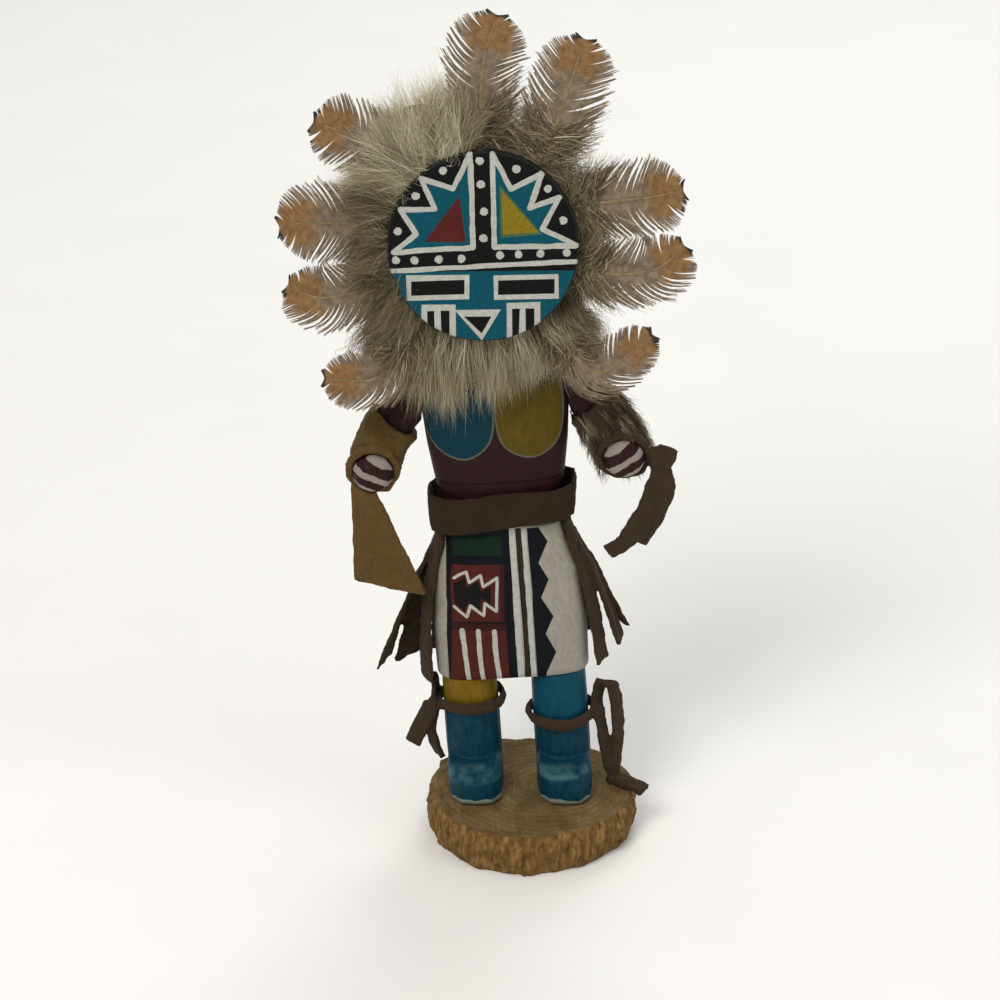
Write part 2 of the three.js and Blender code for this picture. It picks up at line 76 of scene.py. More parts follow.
class Shader:
    """A small helper around one material's node tree."""

    def __init__(self, name, roughness=0.6, **sockets):
        self.material = bpy.data.materials.new(name)
        self.material.use_nodes = True
        self.tree = self.material.node_tree
        self.bsdf = self.tree.nodes["Principled BSDF"]
        self.bsdf.inputs["Roughness"].default_value = roughness
        for socket, value in sockets.items():
            self.bsdf.inputs[socket.replace("_", " ")].default_value = value
        self.place = self.tree.nodes.new("ShaderNodeTexCoord").outputs["Object"]
        self.figure = None

    def feed(self, value, target):
        """Links another node's output to a socket, or sets the socket's own value."""
        if isinstance(value, bpy.types.NodeSocket):
            self.tree.links.new(value, target)
        else:
            target.default_value = value

    def node(self, kind, inputs=(), **settings):
        made = self.tree.nodes.new("ShaderNode" + kind)
        for key, value in settings.items():
            setattr(made, key, value)
        for key, value in dict(inputs).items():
            self.feed(value, made.inputs[key])
        return made

    def noise(self, per_mm, detail=3.0, stretch=(1, 1, 1), rough=0.55, turn=(0, 0, 0)):
        """Noise with about per_mm lumps a millimetre; stretch squeezes it along an axis."""
        scaled = self.node("Mapping", {"Vector": self.place, "Scale": stretch, "Rotation": turn})
        sockets = {"Vector": scaled.outputs[0], "Scale": per_mm * TO_MM, "Detail": detail, "Roughness": rough}
        return self.node("TexNoise", sockets).outputs["Fac"]

    def ramp(self, fac, *stops):
        """Colour stops as (position, colour)."""
        made = self.node("ValToRGB", {"Fac": fac})
        points = made.color_ramp.elements
        while len(points) < len(stops):
            points.new(1.0)
        for point, (position, color) in zip(points, stops):
            point.position, point.color = position, color
        return made.outputs["Color"]

    def blend(self, fac, dark, light, low=0.3, high=0.7):
        """One colour below low, the other above high."""
        return self.ramp(fac, (low, dark), (high, light))

    def step(self, value, low, high):
        """0 at low, 1 at high, smooth between; low may be the larger."""
        sockets = {"Value": value, "From Min": low, "From Max": high}
        return self.node("MapRange", sockets, interpolation_type="SMOOTHSTEP").outputs["Result"]

    def mix(self, fac, a, b):
        """Colour a where fac is 0, b where it is 1."""
        made = self.node("Mix", data_type="RGBA", blend_type="MIX")
        self.feed(fac, [s for s in made.inputs if s.name == "Factor"][0])
        for key, value in (("A", a), ("B", b)):
            self.feed(value, [s for s in made.inputs if s.name == key and s.type == "RGBA"][0])
        return [s for s in made.outputs if s.type == "RGBA"][0]

    def math(self, operation, a, b=0.0):
        made = self.node("Math", operation=operation)
        for target, value in zip(made.inputs, (a, b)):
            self.feed(value, target)
        return made.outputs[0]

    def plus(self, a, b):
        return self.math("ADD", a, b)

    def minus(self, a, b):
        return self.math("SUBTRACT", a, b)

    def times(self, a, b):
        return self.math("MULTIPLY", a, b)

    def length(self, a, b):
        """How far a point with these two coordinates is from the origin."""
        return self.math("SQRT", self.plus(self.times(a, a), self.times(b, b)))

    def axis(self, name):
        return self.node("SeparateXYZ", {"Vector": self.place}).outputs[name]

    def uv(self):
        """The two coordinates of the piece's UV map."""
        place = self.node("TexCoord").outputs["UV"]
        apart = self.node("SeparateXYZ", {"Vector": place})
        return apart.outputs["X"], apart.outputs["Y"]

    def at(self, name):
        """One coordinate of the leaning figure's own frame, in millimetres."""
        if self.figure is None:
            foot, spin, size = FIGURE.translation * MM, (0, -LEAN, 0), (MM, MM, MM)
            sockets = {"Vector": self.place, "Location": foot, "Rotation": spin, "Scale": size}
            unleaned = self.node("Mapping", sockets, vector_type="TEXTURE")
            self.figure = self.node("SeparateXYZ", {"Vector": unleaned.outputs[0]})
        return self.figure.outputs[name]

    def color(self, value):
        self.tree.links.new(value, self.bsdf.inputs["Base Color"])
        return self

    def thin(self, value, share=0.35):
        """Lets part of the light through, as hair and feathers do."""
        glow = self.node("BsdfTranslucent", {"Color": value})
        both = self.node("MixShader", {0: share, 1: self.bsdf.outputs[0], 2: glow.outputs[0]})
        self.tree.links.new(both.outputs[0], self.tree.nodes["Material Output"].inputs["Surface"])
        return self

    def rough(self, value, low, high):
        spread = self.node("MapRange", {"Value": value, "To Min": low, "To Max": high})
        self.tree.links.new(spread.outputs["Result"], self.bsdf.inputs["Roughness"])
        return self

    def bump(self, height, depth_mm):
        made = self.node("Bump", {"Height": height, "Strength": 1.0, "Distance": depth_mm * MM})
        previous = self.bsdf.inputs["Normal"]
        if previous.is_linked:
            self.tree.links.new(previous.links[0].from_socket, made.inputs["Normal"])
        self.tree.links.new(made.outputs[0], previous)
        return self


def shade(color, factor):
    """The same colour, darker or lighter."""
    return tuple(min(1.0, c * factor) for c in color[:3]) + (1.0,)


def paint(name, rgb, streak=(1, 1, 0.25), roughness=0.5):
    """Brushed acrylic: soft streaks, thin places where the wood tone comes through, a low satin sheen."""
    tone = srgb(*rgb)
    s = Shader(name, roughness, Specular_IOR_Level=0.1)
    brushed = s.noise(1.3, 4, streak)
    patch = s.noise(0.16, 2)
    body = s.blend(brushed, shade(tone, 0.84), shade(tone, 1.14))
    worn = s.mix(s.step(patch, 0.62, 0.85), body, shade(tone, 1.3))
    s.color(worn)
    s.rough(brushed, roughness - 0.08, roughness + 0.12)
    s.bump(brushed, 0.05).bump(s.noise(4.5, 2), 0.02)
    return s.material


def suede(name, rgb):
    """Soft split leather: cloudy colour, short nap and pale rubbed places."""
    tone = srgb(*rgb)
    s = Shader(name, 0.95, Specular_IOR_Level=0.12, Sheen_Weight=0.03)
    cloud = s.noise(0.22, 4)
    fine = s.noise(2.6, 4)
    body = s.ramp(cloud, (0.3, shade(tone, 0.72)), (0.55, tone), (0.75, shade(tone, 1.35)))
    s.color(s.mix(0.55, body, s.blend(fine, shade(tone, 0.6), shade(tone, 1.5))))
    s.bump(fine, 0.06).bump(s.noise(0.7, 3), 0.15)
    return s.material


# ---- meshes ----
def build(name, verts, faces, materials, indices=None, place=WORLD, normals=None, smooth=True, uv=None):
    """A mesh object from millimetre points in one of the frames above."""
    turn = np.array(place.to_3x3())
    points = (np.asarray(verts, float) @ turn.T + np.array(place.translation)) * MM
    mesh = bpy.data.meshes.new(name)
    mesh.from_pydata(points.tolist(), [], [tuple(int(i) for i in f) for f in faces])
    for material in materials:
        mesh.materials.append(material)
    if indices is not None:
        mesh.polygons.foreach_set("material_index", np.asarray(indices, np.int32))
    mesh.polygons.foreach_set("use_smooth", np.full(len(mesh.polygons), smooth))
    if uv is not None:
        corners = np.zeros(len(mesh.loops), np.int32)
        mesh.loops.foreach_get("vertex_index", corners)
        mesh.uv_layers.new(name="UVMap").data.foreach_set("uv", np.asarray(uv, np.float32)[corners].ravel())
    if normals is not None:
        mesh.normals_split_custom_set_from_vertices((np.asarray(normals, float) @ turn.T).tolist())
    mesh.update()
    piece = bpy.data.objects.new(name, mesh)
    bpy.context.collection.objects.link(piece)
    return piece


def stands_for(piece, slot, *nodes):
    """Puts a piece on the part's one body; nodes are the CAD nodes that it replaces."""
    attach(piece, "root")
    if nodes:
        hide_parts(*nodes)


def unit(vectors):
    """The same directions, each of length 1."""
    return vectors / np.maximum(np.linalg.norm(vectors, axis=-1, keepdims=True), 1e-9)


def lumps(points, per_mm, stretch=(1, 1, 1)):
    """Smooth noise at each point, about -0.5 to 0.5."""
    scaled = points * np.array(stretch) * per_mm
    dimension, gap, octaves = 0.9, 2.1, 3
    return np.array([fractal(Vector(p), dimension, gap, octaves) for p in scaled])


def uneven(depth):
    """A relief for soft_copy: rises and hollows of about depth."""
    def relief(points, normals):
        return depth * lumps(points, 0.3)
    return relief


def soft_copy(name, node, material, slot, voxel, rounds, relief=None):
    """A CAD node's own form with its corners softened, for hide, bark and carved wood."""
    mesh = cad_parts[node].data.copy()
    piece = bpy.data.objects.new(name, mesh)
    piece.matrix_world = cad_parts[node].matrix_world.copy()
    bpy.context.collection.objects.link(piece)
    remesh = piece.modifiers.new("even", "REMESH")
    remesh.mode, remesh.voxel_size, remesh.use_smooth_shade = "VOXEL", voxel * MM, True
    soften = piece.modifiers.new("soften", "SMOOTH")
    soften.factor, soften.iterations = 0.5, rounds
    depsgraph = bpy.context.evaluated_depsgraph_get()
    done = bpy.data.meshes.new_from_object(piece.evaluated_get(depsgraph))
    piece.modifiers.clear()
    piece.data = done
    done.name = name
    done.materials.clear()
    done.materials.append(material)
    if relief:
        points = np.zeros(len(done.vertices) * 3)
        normals = np.zeros(len(done.vertices) * 3)
        done.vertices.foreach_get("co", points)
        done.vertices.foreach_get("normal", normals)
        points, normals = points.reshape(-1, 3), normals.reshape(-1, 3)
        points += normals * (relief(points / MM, normals) * MM)[:, None]
        done.vertices.foreach_set("co", points.ravel())
    done.polygons.foreach_set("use_smooth", np.ones(len(done.polygons), bool))
    done.update()
    stands_for(piece, slot, node)


# ---- painted surfaces ----
class Artwork:
    """Flat shapes laid over each other, each with its paint; the last one laid shows."""

    def __init__(self, seed):
        self.shapes = []
        self.random = np.random.default_rng(seed)

    def fill(self, points, color, jitter=0.0):
        points = np.asarray(points, float)
        if jitter:
            points = points + self.random.normal(0, jitter, points.shape)
        self.shapes.append((points, color))

    def line(self, points, width, color, jitter=0.05, step=2.2):
        """A brushed line: short overlapping dabs with round ends and a slightly uneven width."""
        points = np.asarray(points, float)
        for a, b in zip(points[:-1], points[1:]):
            count = max(1, round(float(np.hypot(*(b - a))) / step))
            stops = [a + (b - a) * k / count for k in range(count + 1)]
            stops = [stops[0]] + [s + self.random.normal(0, jitter, 2) for s in stops[1:-1]] + [stops[-1]]
            for p, q in zip(stops[:-1], stops[1:]):
                self.dab(p, q, width * (1 + self.random.normal(0, 0.06)), color)

    def dab(self, a, b, width, color):
        """One dab from a to b, with round ends."""
        turn = math.atan2(b[1] - a[1], b[0] - a[0])
        radius, steps = width / 2, 3
        ends = []
        for middle, start in ((b, turn - math.pi / 2), (a, turn + math.pi / 2)):
            for k in range(steps + 1):
                angle = start + math.pi * k / steps
                ends.append((middle[0] + radius * math.cos(angle), middle[1] + radius * math.sin(angle)))
        self.shapes.append((np.array(ends), color))

    def dot(self, x, y, radius, color):
        """A round dot with a slightly uneven edge."""
        corners = 8
        angles = np.linspace(0, 2 * math.pi, corners + 1)[:-1] + self.random.uniform(0, 1)
        reach = radius * (1 + self.random.normal(0, 0.07, corners))
        ring = np.stack([x + reach * np.cos(angles), y + reach * np.sin(angles)], 1)
        self.shapes.append((ring, color))

    def cut(self, outline, extra, ground, remap=lambda p: p):
        """Splits the outline by every shape. Returns flat points, triangles and each triangle's paint."""
        loops = [np.asarray(outline, float)] + [remap(shape) for shape, _ in self.shapes]
        points, edges = [], []
        for loop in loops:
            first, count = len(points), len(loop)
            edges += [(first + k, first + (k + 1) % count) for k in range(count)]
            points += [Vector((float(x), float(y))) for x, y in loop]
        points += [Vector((float(x), float(y))) for x, y in extra]
        verts, _, triangles = delaunay_2d_cdt(points, edges, [], 0, 1e-4)[:3]
        flat = np.array([tuple(v) for v in verts])
        triangles = np.array(triangles)
        middle = flat[triangles].mean(axis=1)
        owner = np.where(inside(middle, loops[0]), 0, -1)
        for number, loop in enumerate(loops[1:], 1):
            boxed = np.all((middle >= loop.min(0)) & (middle <= loop.max(0)), axis=1)
            near = np.flatnonzero(boxed & (owner >= 0))
            owner[near[inside(middle[near], loop)]] = number
        colors = [ground] + [color for _, color in self.shapes]
        kept = np.flatnonzero(owner >= 0)
        return flat, triangles[kept].tolist(), [colors[owner[k]] for k in kept]


def inside(points, loop):
    """Which points lie inside a closed loop."""
    x, y = points[:, 0], points[:, 1]
    ax, ay = loop[:, 0][:, None], loop[:, 1][:, None]
    bx, by = np.roll(loop[:, 0], -1)[:, None], np.roll(loop[:, 1], -1)[:, None]
    rise = np.where(by == ay, 1e-12, by - ay)
    crossed = ((ay > y) != (by > y)) & (x < (bx - ax) * (y - ay) / rise + ax)
    return crossed.sum(axis=0) % 2 == 1


def compact(flat, triangles):
    """Drops points that no triangle uses."""
    used = np.unique(np.concatenate([np.asarray(t) for t in triangles]))
    place = np.full(len(flat), -1)
    place[used] = np.arange(len(used))
    return flat[used], [[place[i] for i in t] for t in triangles]


def catmull(points, count):
    """A smooth line through the points, evenly spaced along its length."""
    steps = 24
    p = np.asarray(points, float)
    p = np.vstack([2 * p[0] - p[1], p, 2 * p[-1] - p[-2]])
    dense = []
    for a, b, c, d in zip(p[:-3], p[1:-2], p[2:-1], p[3:]):
        for t in np.linspace(0, 1, steps, endpoint=False):
            bend = (2 * a - 5 * b + 4 * c - d) * t * t + (3 * b - a - 3 * c + d) * t ** 3
            dense.append(0.5 * (2 * b + (c - a) * t + bend))
    dense = np.array(dense + [p[-2]])
    gone = np.concatenate([[0], np.cumsum(np.linalg.norm(np.diff(dense, axis=0), axis=1))])
    even = np.linspace(0, gone[-1], count)
    return np.stack([np.interp(even, gone, dense[:, k]) for k in range(p.shape[1])], 1)


# ---- stage, light and camera ----
scene = bpy.context.scene
scene.view_settings.view_transform = "Standard"
DOLL_MIDDLE = Vector((0, 0, 0.09))


def lamp(name, at, size, power, color):
    """A round soft light aimed at the middle of the doll; metres."""
    light = bpy.data.lights.new(name, "AREA")
    light.shape, light.size, light.energy, light.color = "DISK", size, power, color
    holder = bpy.data.objects.new(name, light)
    holder.location = at
    holder.rotation_euler = (DOLL_MIDDLE - Vector(at)).to_track_quat("-Z", "Y").to_euler()
    scene.collection.objects.link(holder)


lamp("key", (-0.45, -0.75, 0.95), 0.6, 9.0, (1.0, 0.97, 0.93))
lamp("fill", (0.9, -0.5, 0.5), 0.7, 2.4, (0.96, 0.98, 1.0))
lamp("back", (0.2, 0.8, 0.8), 0.6, 4.0, (1.0, 1.0, 1.0))

studio = bpy.data.worlds.new("studio")
studio.use_nodes = True
sky = studio.node_tree.nodes["Background"].inputs
sky["Color"].default_value = (1.0, 0.99, 0.96, 1)
sky["Strength"].default_value = 0.47
scene.world = studio

ground = Shader("pale_floor", 0.9)
ground.color(ground.blend(ground.noise(0.02, 2), srgb(240, 239, 236), srgb(242, 241, 239)))
wide, drop = 3000, 0.02
corners = [(-wide, -wide, -drop), (wide, -wide, -drop), (wide, wide, -drop), (-wide, wide, -drop)]
floor = build("floor", corners, [(0, 1, 2, 3)], [ground.material])

# The photograph's camera, in metres.
camera = bpy.data.cameras.new("camera")
camera.lens, camera.sensor_width = 116.6, 36
eye = bpy.data.objects.new("camera", camera)
eye.location = (-0.0069, -0.6508, 0.3757)
eye.rotation_euler = (math.radians(90 - 24.3), 0, 0)
scene.collection.objects.link(eye)
scene.camera = eye


# ---- base: a slice of a branch ----
def wood_slice():
    """Sawn faces with growth rings, bark gone from the ridged rim."""
    pith, ring_turn = 3.5, 3.4
    s = Shader("branch_wood", 0.88, Specular_IOR_Level=0.15)
    x, y, z = (s.times(s.axis(k), TO_MM) for k in "XYZ")
    radius = s.plus(s.length(s.minus(x, pith), y), s.times(s.noise(0.09, 3), 4.0))
    rings = s.math("SINE", s.times(radius, ring_turn))
    sawn = s.blend(s.noise(0.25, 4), srgb(90, 71, 43), srgb(122, 101, 67))
    sawn = s.mix(s.times(s.step(rings, 0.2, 1.0), 0.4), sawn, srgb(82, 62, 37))
    saw = s.noise(1.1, 4, (1, 0.09, 1), 0.6, (0, 0, 0.5))
    sawn = s.mix(s.step(saw, 0.55, 0.75), sawn, srgb(128, 108, 74))
    sawn = s.mix(s.step(s.length(x, y), 22.4, 23.6), sawn, srgb(92, 70, 42))
    grain = s.noise(0.9, 5, (1, 1, 0.3))
    bark = s.ramp(grain, (0.25, srgb(64, 45, 21)), (0.5, srgb(108, 81, 43)), (0.75, srgb(146, 117, 72)))
    edge = s.plus(z, s.times(s.noise(0.5, 3), 1.2))
    s.color(s.mix(s.step(edge, 9.9, 10.4), bark, sawn))
    s.bump(saw, 0.12).bump(grain, 0.3)
    return s.material


def rim_relief(points, normals):
    """Ridges down the rim, and next to nothing on the sawn faces."""
    side = np.clip(1 - np.abs(normals[:, 2]) * 1.6, 0, 1)
    ridges = 1.1 * lumps(points, 0.32, (1, 1, 0.35)) + 0.5 * lumps(points + 40, 0.9, (1, 1, 0.5))
    return side * ridges + 0.06 * lumps(points, 0.5) * (1 - side)


soft_copy("wood_slice", "base", wood_slice(), "bare_wood", 0.4, 2, rim_relief)

# ---- paints ----
PAINTS = {
    "torso": paint("paint_maroon", (40, 19, 21)),
    # Darker maroon for the painted shade along the belt's upper edge.
    "torso_dark": paint("paint_maroon_belt_shade", (24, 10, 11)),
    "kilt": paint("paint_kilt_white", (143, 139, 128), (1, 1, 0.5), 0.55),
    "navy": paint("paint_navy", (9, 12, 17)),
    "green": paint("paint_green", (8, 32, 20)),
    "red": paint("paint_red", (68, 26, 23)),
    "red_dark": paint("paint_red_dark", (48, 20, 19)),
    "black": paint("paint_black", (13, 13, 13), (1, 1, 0.25), 0.42),
    "olive": paint("paint_olive", (38, 34, 22)),
    "white": paint("paint_white", (166, 166, 158), (1, 1, 1), 0.45),
    "patch_blue": paint("paint_patch_blue", (6, 48, 60)),
    "patch_yellow": paint("paint_patch_yellow", (78, 65, 14)),
    "patch_edge": paint("paint_patch_edge", (84, 86, 72)),
    "turquoise": paint("paint_turquoise", (6, 69, 84), (1, 1, 1), 0.42),
    "mask_red": paint("paint_mask_red", (76, 28, 26), (1, 1, 1), 0.42),
    "mask_yellow": paint("paint_mask_yellow", (120, 103, 24), (1, 1, 1), 0.42),
    "mask_green": paint("paint_mask_green", (62, 92, 62), (1, 1, 1), 0.42),
    "rim": paint("paint_mask_rim", (34, 36, 30), (1, 1, 1), 0.6),
}


def painted(name, flat, triangles, colors, surface, place, slot, node, caps):
    """Lays flat painted triangles on a surface; caps are plain faces of (corners, normal, paint)."""
    flat, triangles = compact(flat, triangles)
    points = surface(flat)
    small = 0.02
    across = surface(flat + (small, 0)) - surface(flat - (small, 0))
    up = surface(flat + (0, small)) - surface(flat - (0, small))
    points, normals = list(points), list(unit(np.cross(across, up)))
    faces, colors = [list(t) for t in triangles], list(colors)
    for corners, normal, color in caps:
        faces.append(list(range(len(points), len(points) + len(corners))))
        points += list(corners)
        normals += [normal] * len(corners)
        colors.append(color)
    used = sorted(set(colors))
    materials = [PAINTS[color] for color in used]
    indices = [used.index(color) for color in colors]
    stands_for(build(name, points, faces, materials, indices, place, normals), slot, node)


# ---- body ----
HEM, SHOULDERS, NECK, CROWN = 29.4, 104.6, 108, 149.0
BOARD_POWER, HEAD_POWER = 3.4, 2.2
HALF_WIDTH, HALF_DEPTH = 17, 7


def reach_of(angle, half_width, half_depth, power):
    """From the middle of a rounded oblong section to its edge; a higher power has squarer corners."""
    a = np.abs(np.cos(angle)) / half_width
    b = np.abs(np.sin(angle)) / half_depth
    return (a ** power + b ** power) ** (-1 / power)


# The outline of one reference section, walked from the middle of the front.
turns = np.linspace(-math.pi / 2, 1.5 * math.pi, 4001)
reaches = reach_of(turns, HALF_WIDTH, HALF_DEPTH, BOARD_POWER)
walk = np.stack([reaches * np.cos(turns), reaches * np.sin(turns)], 1)
walked = np.concatenate([[0], np.cumsum(np.linalg.norm(np.diff(walk, axis=0), axis=1))])
GIRTH = float(walked[-1])


def unrolled(points):
    """Front view points (x, z) to points (distance round the body, z); x past the edge goes on round."""
    x, z = points[:, 0], points[:, 1]
    half = np.interp(z, BODY_PROFILE[:, 0], BODY_PROFILE[:, 1])
    edge, limit = 0.96, GIRTH / 2 + 2
    ratio = np.minimum(np.abs(x) / half, edge)
    front = walked <= GIRTH / 4
    s = np.interp(ratio, walk[front, 0] / HALF_WIDTH, walked[front]) + np.maximum(np.abs(x) - edge * half, 0)
    return np.stack([np.clip(np.sign(x) * s, -limit, limit), z], 1)


def body_surface(flat):
    """The carved body in the figure's frame, planed flat where the mask is seated."""
    s, z = np.mod(flat[:, 0], GIRTH), np.clip(flat[:, 1], HEM, CROWN)
    half_width = np.interp(z, BODY_PROFILE[:, 0], BODY_PROFILE[:, 1])
    half_depth = np.interp(z, BODY_PROFILE[:, 0], BODY_PROFILE[:, 2])
    x = np.interp(s, walked, walk[:, 0]) / HALF_WIDTH * half_width
    y = np.interp(s, walked, walk[:, 1]) / HALF_DEPTH * half_depth
    angle = np.arctan2(y, x)
    power = np.interp(z, [SHOULDERS, NECK], [BOARD_POWER, HEAD_POWER])
    reach = reach_of(angle, half_width, half_depth, power)
    seat = MASK_THICK + MASK_GAP
    behind = (z - MASK_LEVEL + seat * math.sin(TILT)) / math.cos(TILT)
    flat_front = MASK_FRONT + seat * math.cos(TILT) + behind * math.sin(TILT)
    return np.stack([reach * np.cos(angle), np.maximum(reach * np.sin(angle), flat_front), z], 1)


def all_round(low, high):
    """A band right round the body."""
    beyond = 60
    return [(-beyond, low), (beyond, low), (beyond, high), (-beyond, high)]


def body_paint():
    """White kilt with its woven panel, maroon chest with two shoulder patches, black neck and head."""
    art = Artwork(5)
    art.fill(all_round(28, 66.5), "kilt")
    panel = [
        (-12.9, 66.5), (-13.2, 58), (-13.6, 48.7), (-14.3, 38), (-14.5, 28),
        (1.2, 28), (1.1, 48), (1.2, 66.5),
    ]
    art.fill(panel, "navy")
    art.fill([(-11.4, 64.6), (-0.5, 64.4), (-0.7, 59.6), (-11.6, 60.1)], "green", 0.08)
    art.fill([(-11.9, 58.1), (-0.3, 57.8), (-1, 43.7), (-12.7, 44.2)], "red_dark", 0.05)
    art.fill([(-11.9, 58.1), (-1.2, 57.8), (-1.9, 43.9), (-12.7, 44.2)], "red")
    steps = [
        (-11.7, 54.9), (-10.3, 55.8), (-8.8, 56.4), (-8.3, 53.8), (-5.7, 55.5), (-5.3, 52.7), (-2.1, 54.7),
        (-2.7, 46.5), (-5.2, 48.6), (-5.6, 45.6), (-8.4, 48.2), (-9.4, 45.4), (-12.1, 48.0),
    ]
    inner = [
        (-11.9, 53.6), (-10.2, 54.6), (-9.2, 55.2), (-8.9, 52.6), (-6.3, 54.2), (-5.9, 51.6), (-3.6, 52.6),
        (-3.9, 48.4), (-5.9, 50), (-6.3, 47), (-8.9, 49.2), (-9.8, 46.8), (-11.9, 48.9),
    ]
    art.fill(inner, "black")
    art.line(steps, 0.68, "white")
    art.fill([(-12.9, 43.9), (-0.8, 43.3), (-0.9, 41.9), (-13, 42.5)], "red_dark")
    art.fill([(-13, 42.4), (-0.9, 41.8), (-0.7, 28), (-14, 28)], "red", 0.05)
    for path, width in (
        ([(-10.7, 42.1), (-10.4, 36), (-10.0, 29)], 1.1),
        ([(-7.1, 41.9), (-7.1, 36), (-6.7, 29)], 1.1),
        ([(-3.5, 41.6), (-3.5, 36), (-3.1, 29)], 1.2),
        ([(1.9, 65.6), (1.8, 47.8), (1.8, 29)], 1.35),
    ):
        art.line(path, width, "white")
    art.fill([(2.5, 66), (3.9, 66), (4.0, 28), (2.6, 28)], "olive", 0.05)
    art.line([(4.5, 65.4), (4.6, 47.6), (4.6, 29)], 1.1, "white")
    zigzag = [
        (5.5, 28), (5.4, 47.5), (5.2, 65.9), (7.7, 65.9), (9.6, 62.4), (7.3, 57.6), (9.3, 53.5), (7.4, 49.2),
        (9.9, 44.4), (7.9, 40.2), (10, 35.4), (7.6, 30.4), (7.5, 28),
    ]
    art.fill(zigzag, "navy")
    # A thin darker maroon line right round the body just above the belt: painted shade where the belt's upper
    # edge stands off the torso.
    art.line([(x, 77.3) for x in np.linspace(-44, 44, 30)], 0.45, "torso_dark")
    blue = [(-14.8, 101), (-15.9, 93.2), (-13.4, 86.5), (-7.6, 83.3), (-2.4, 86.1), (-0.6, 91.5), (-0.5, 101)]
    yellow = [(0.3, 101), (0.1, 91), (1.9, 85.6), (7.3, 83.1), (12.5, 85.7), (14.6, 91.5), (14.8, 101)]
    for corners, color in ((blue, "patch_blue"), (yellow, "patch_yellow")):
        patch = catmull(corners, 26)
        art.fill(patch, color)
        art.line(patch, 0.4, "patch_edge", 0.03)
    art.fill(all_round(106, 152), "black")
    rows = np.unique(np.concatenate([BODY_PROFILE[:, 0], np.arange(31, 149, 1.5)]))
    half = GIRTH / 2
    columns = np.linspace(-half, half, 91)
    extra = np.array([(s, z) for z in rows for s in columns])
    outline = [(-half, HEM), (half, HEM), (half, CROWN), (-half, CROWN)]
    flat, triangles, colors = art.cut(outline, extra, "torso", unrolled)
    caps = []
    for level, normal, color in ((HEM, (0, 0, -1), "kilt"), (CROWN, (0, 0, 1), "black")):
        ring = body_surface(np.array([(s, level) for s in columns[:-1]]))
        caps.append((ring[::-1] if level == HEM else ring, normal, color))
    painted("painted_body", flat, triangles, colors, body_surface, FIGURE, "painted_wood", "body", caps)


body_paint()


# ---- mask ----
ASKEW = math.radians(-2.9)


def mask_surface(flat):
    """The disc's front with its rounded edge; x to the doll's left, z up."""
    radius = np.linalg.norm(flat, axis=1)
    over = np.clip(radius - (MASK_RADIUS - MASK_EDGE), 0, MASK_EDGE)
    y = MASK_EDGE - np.sqrt(np.maximum(MASK_EDGE ** 2 - over ** 2, 0))
    shrink = np.minimum(1, MASK_RADIUS / np.maximum(radius, 1e-6))
    return np.stack([flat[:, 0] * shrink, y, flat[:, 1] * shrink], 1)


def on_mask(points):
    """Fractions of the radius to millimetres; the picture sits a little turned on the disc."""
    x, z = np.asarray(points, float).T * MASK_RADIUS
    across = x * math.cos(ASKEW) - z * math.sin(ASKEW)
    return np.stack([across, x * math.sin(ASKEW) + z * math.cos(ASKEW)], 1)


def lower_edge(x):
    """A little past the disc's lower edge, in fractions of the radius."""
    return -math.sqrt(1 - x * x) - 0.005


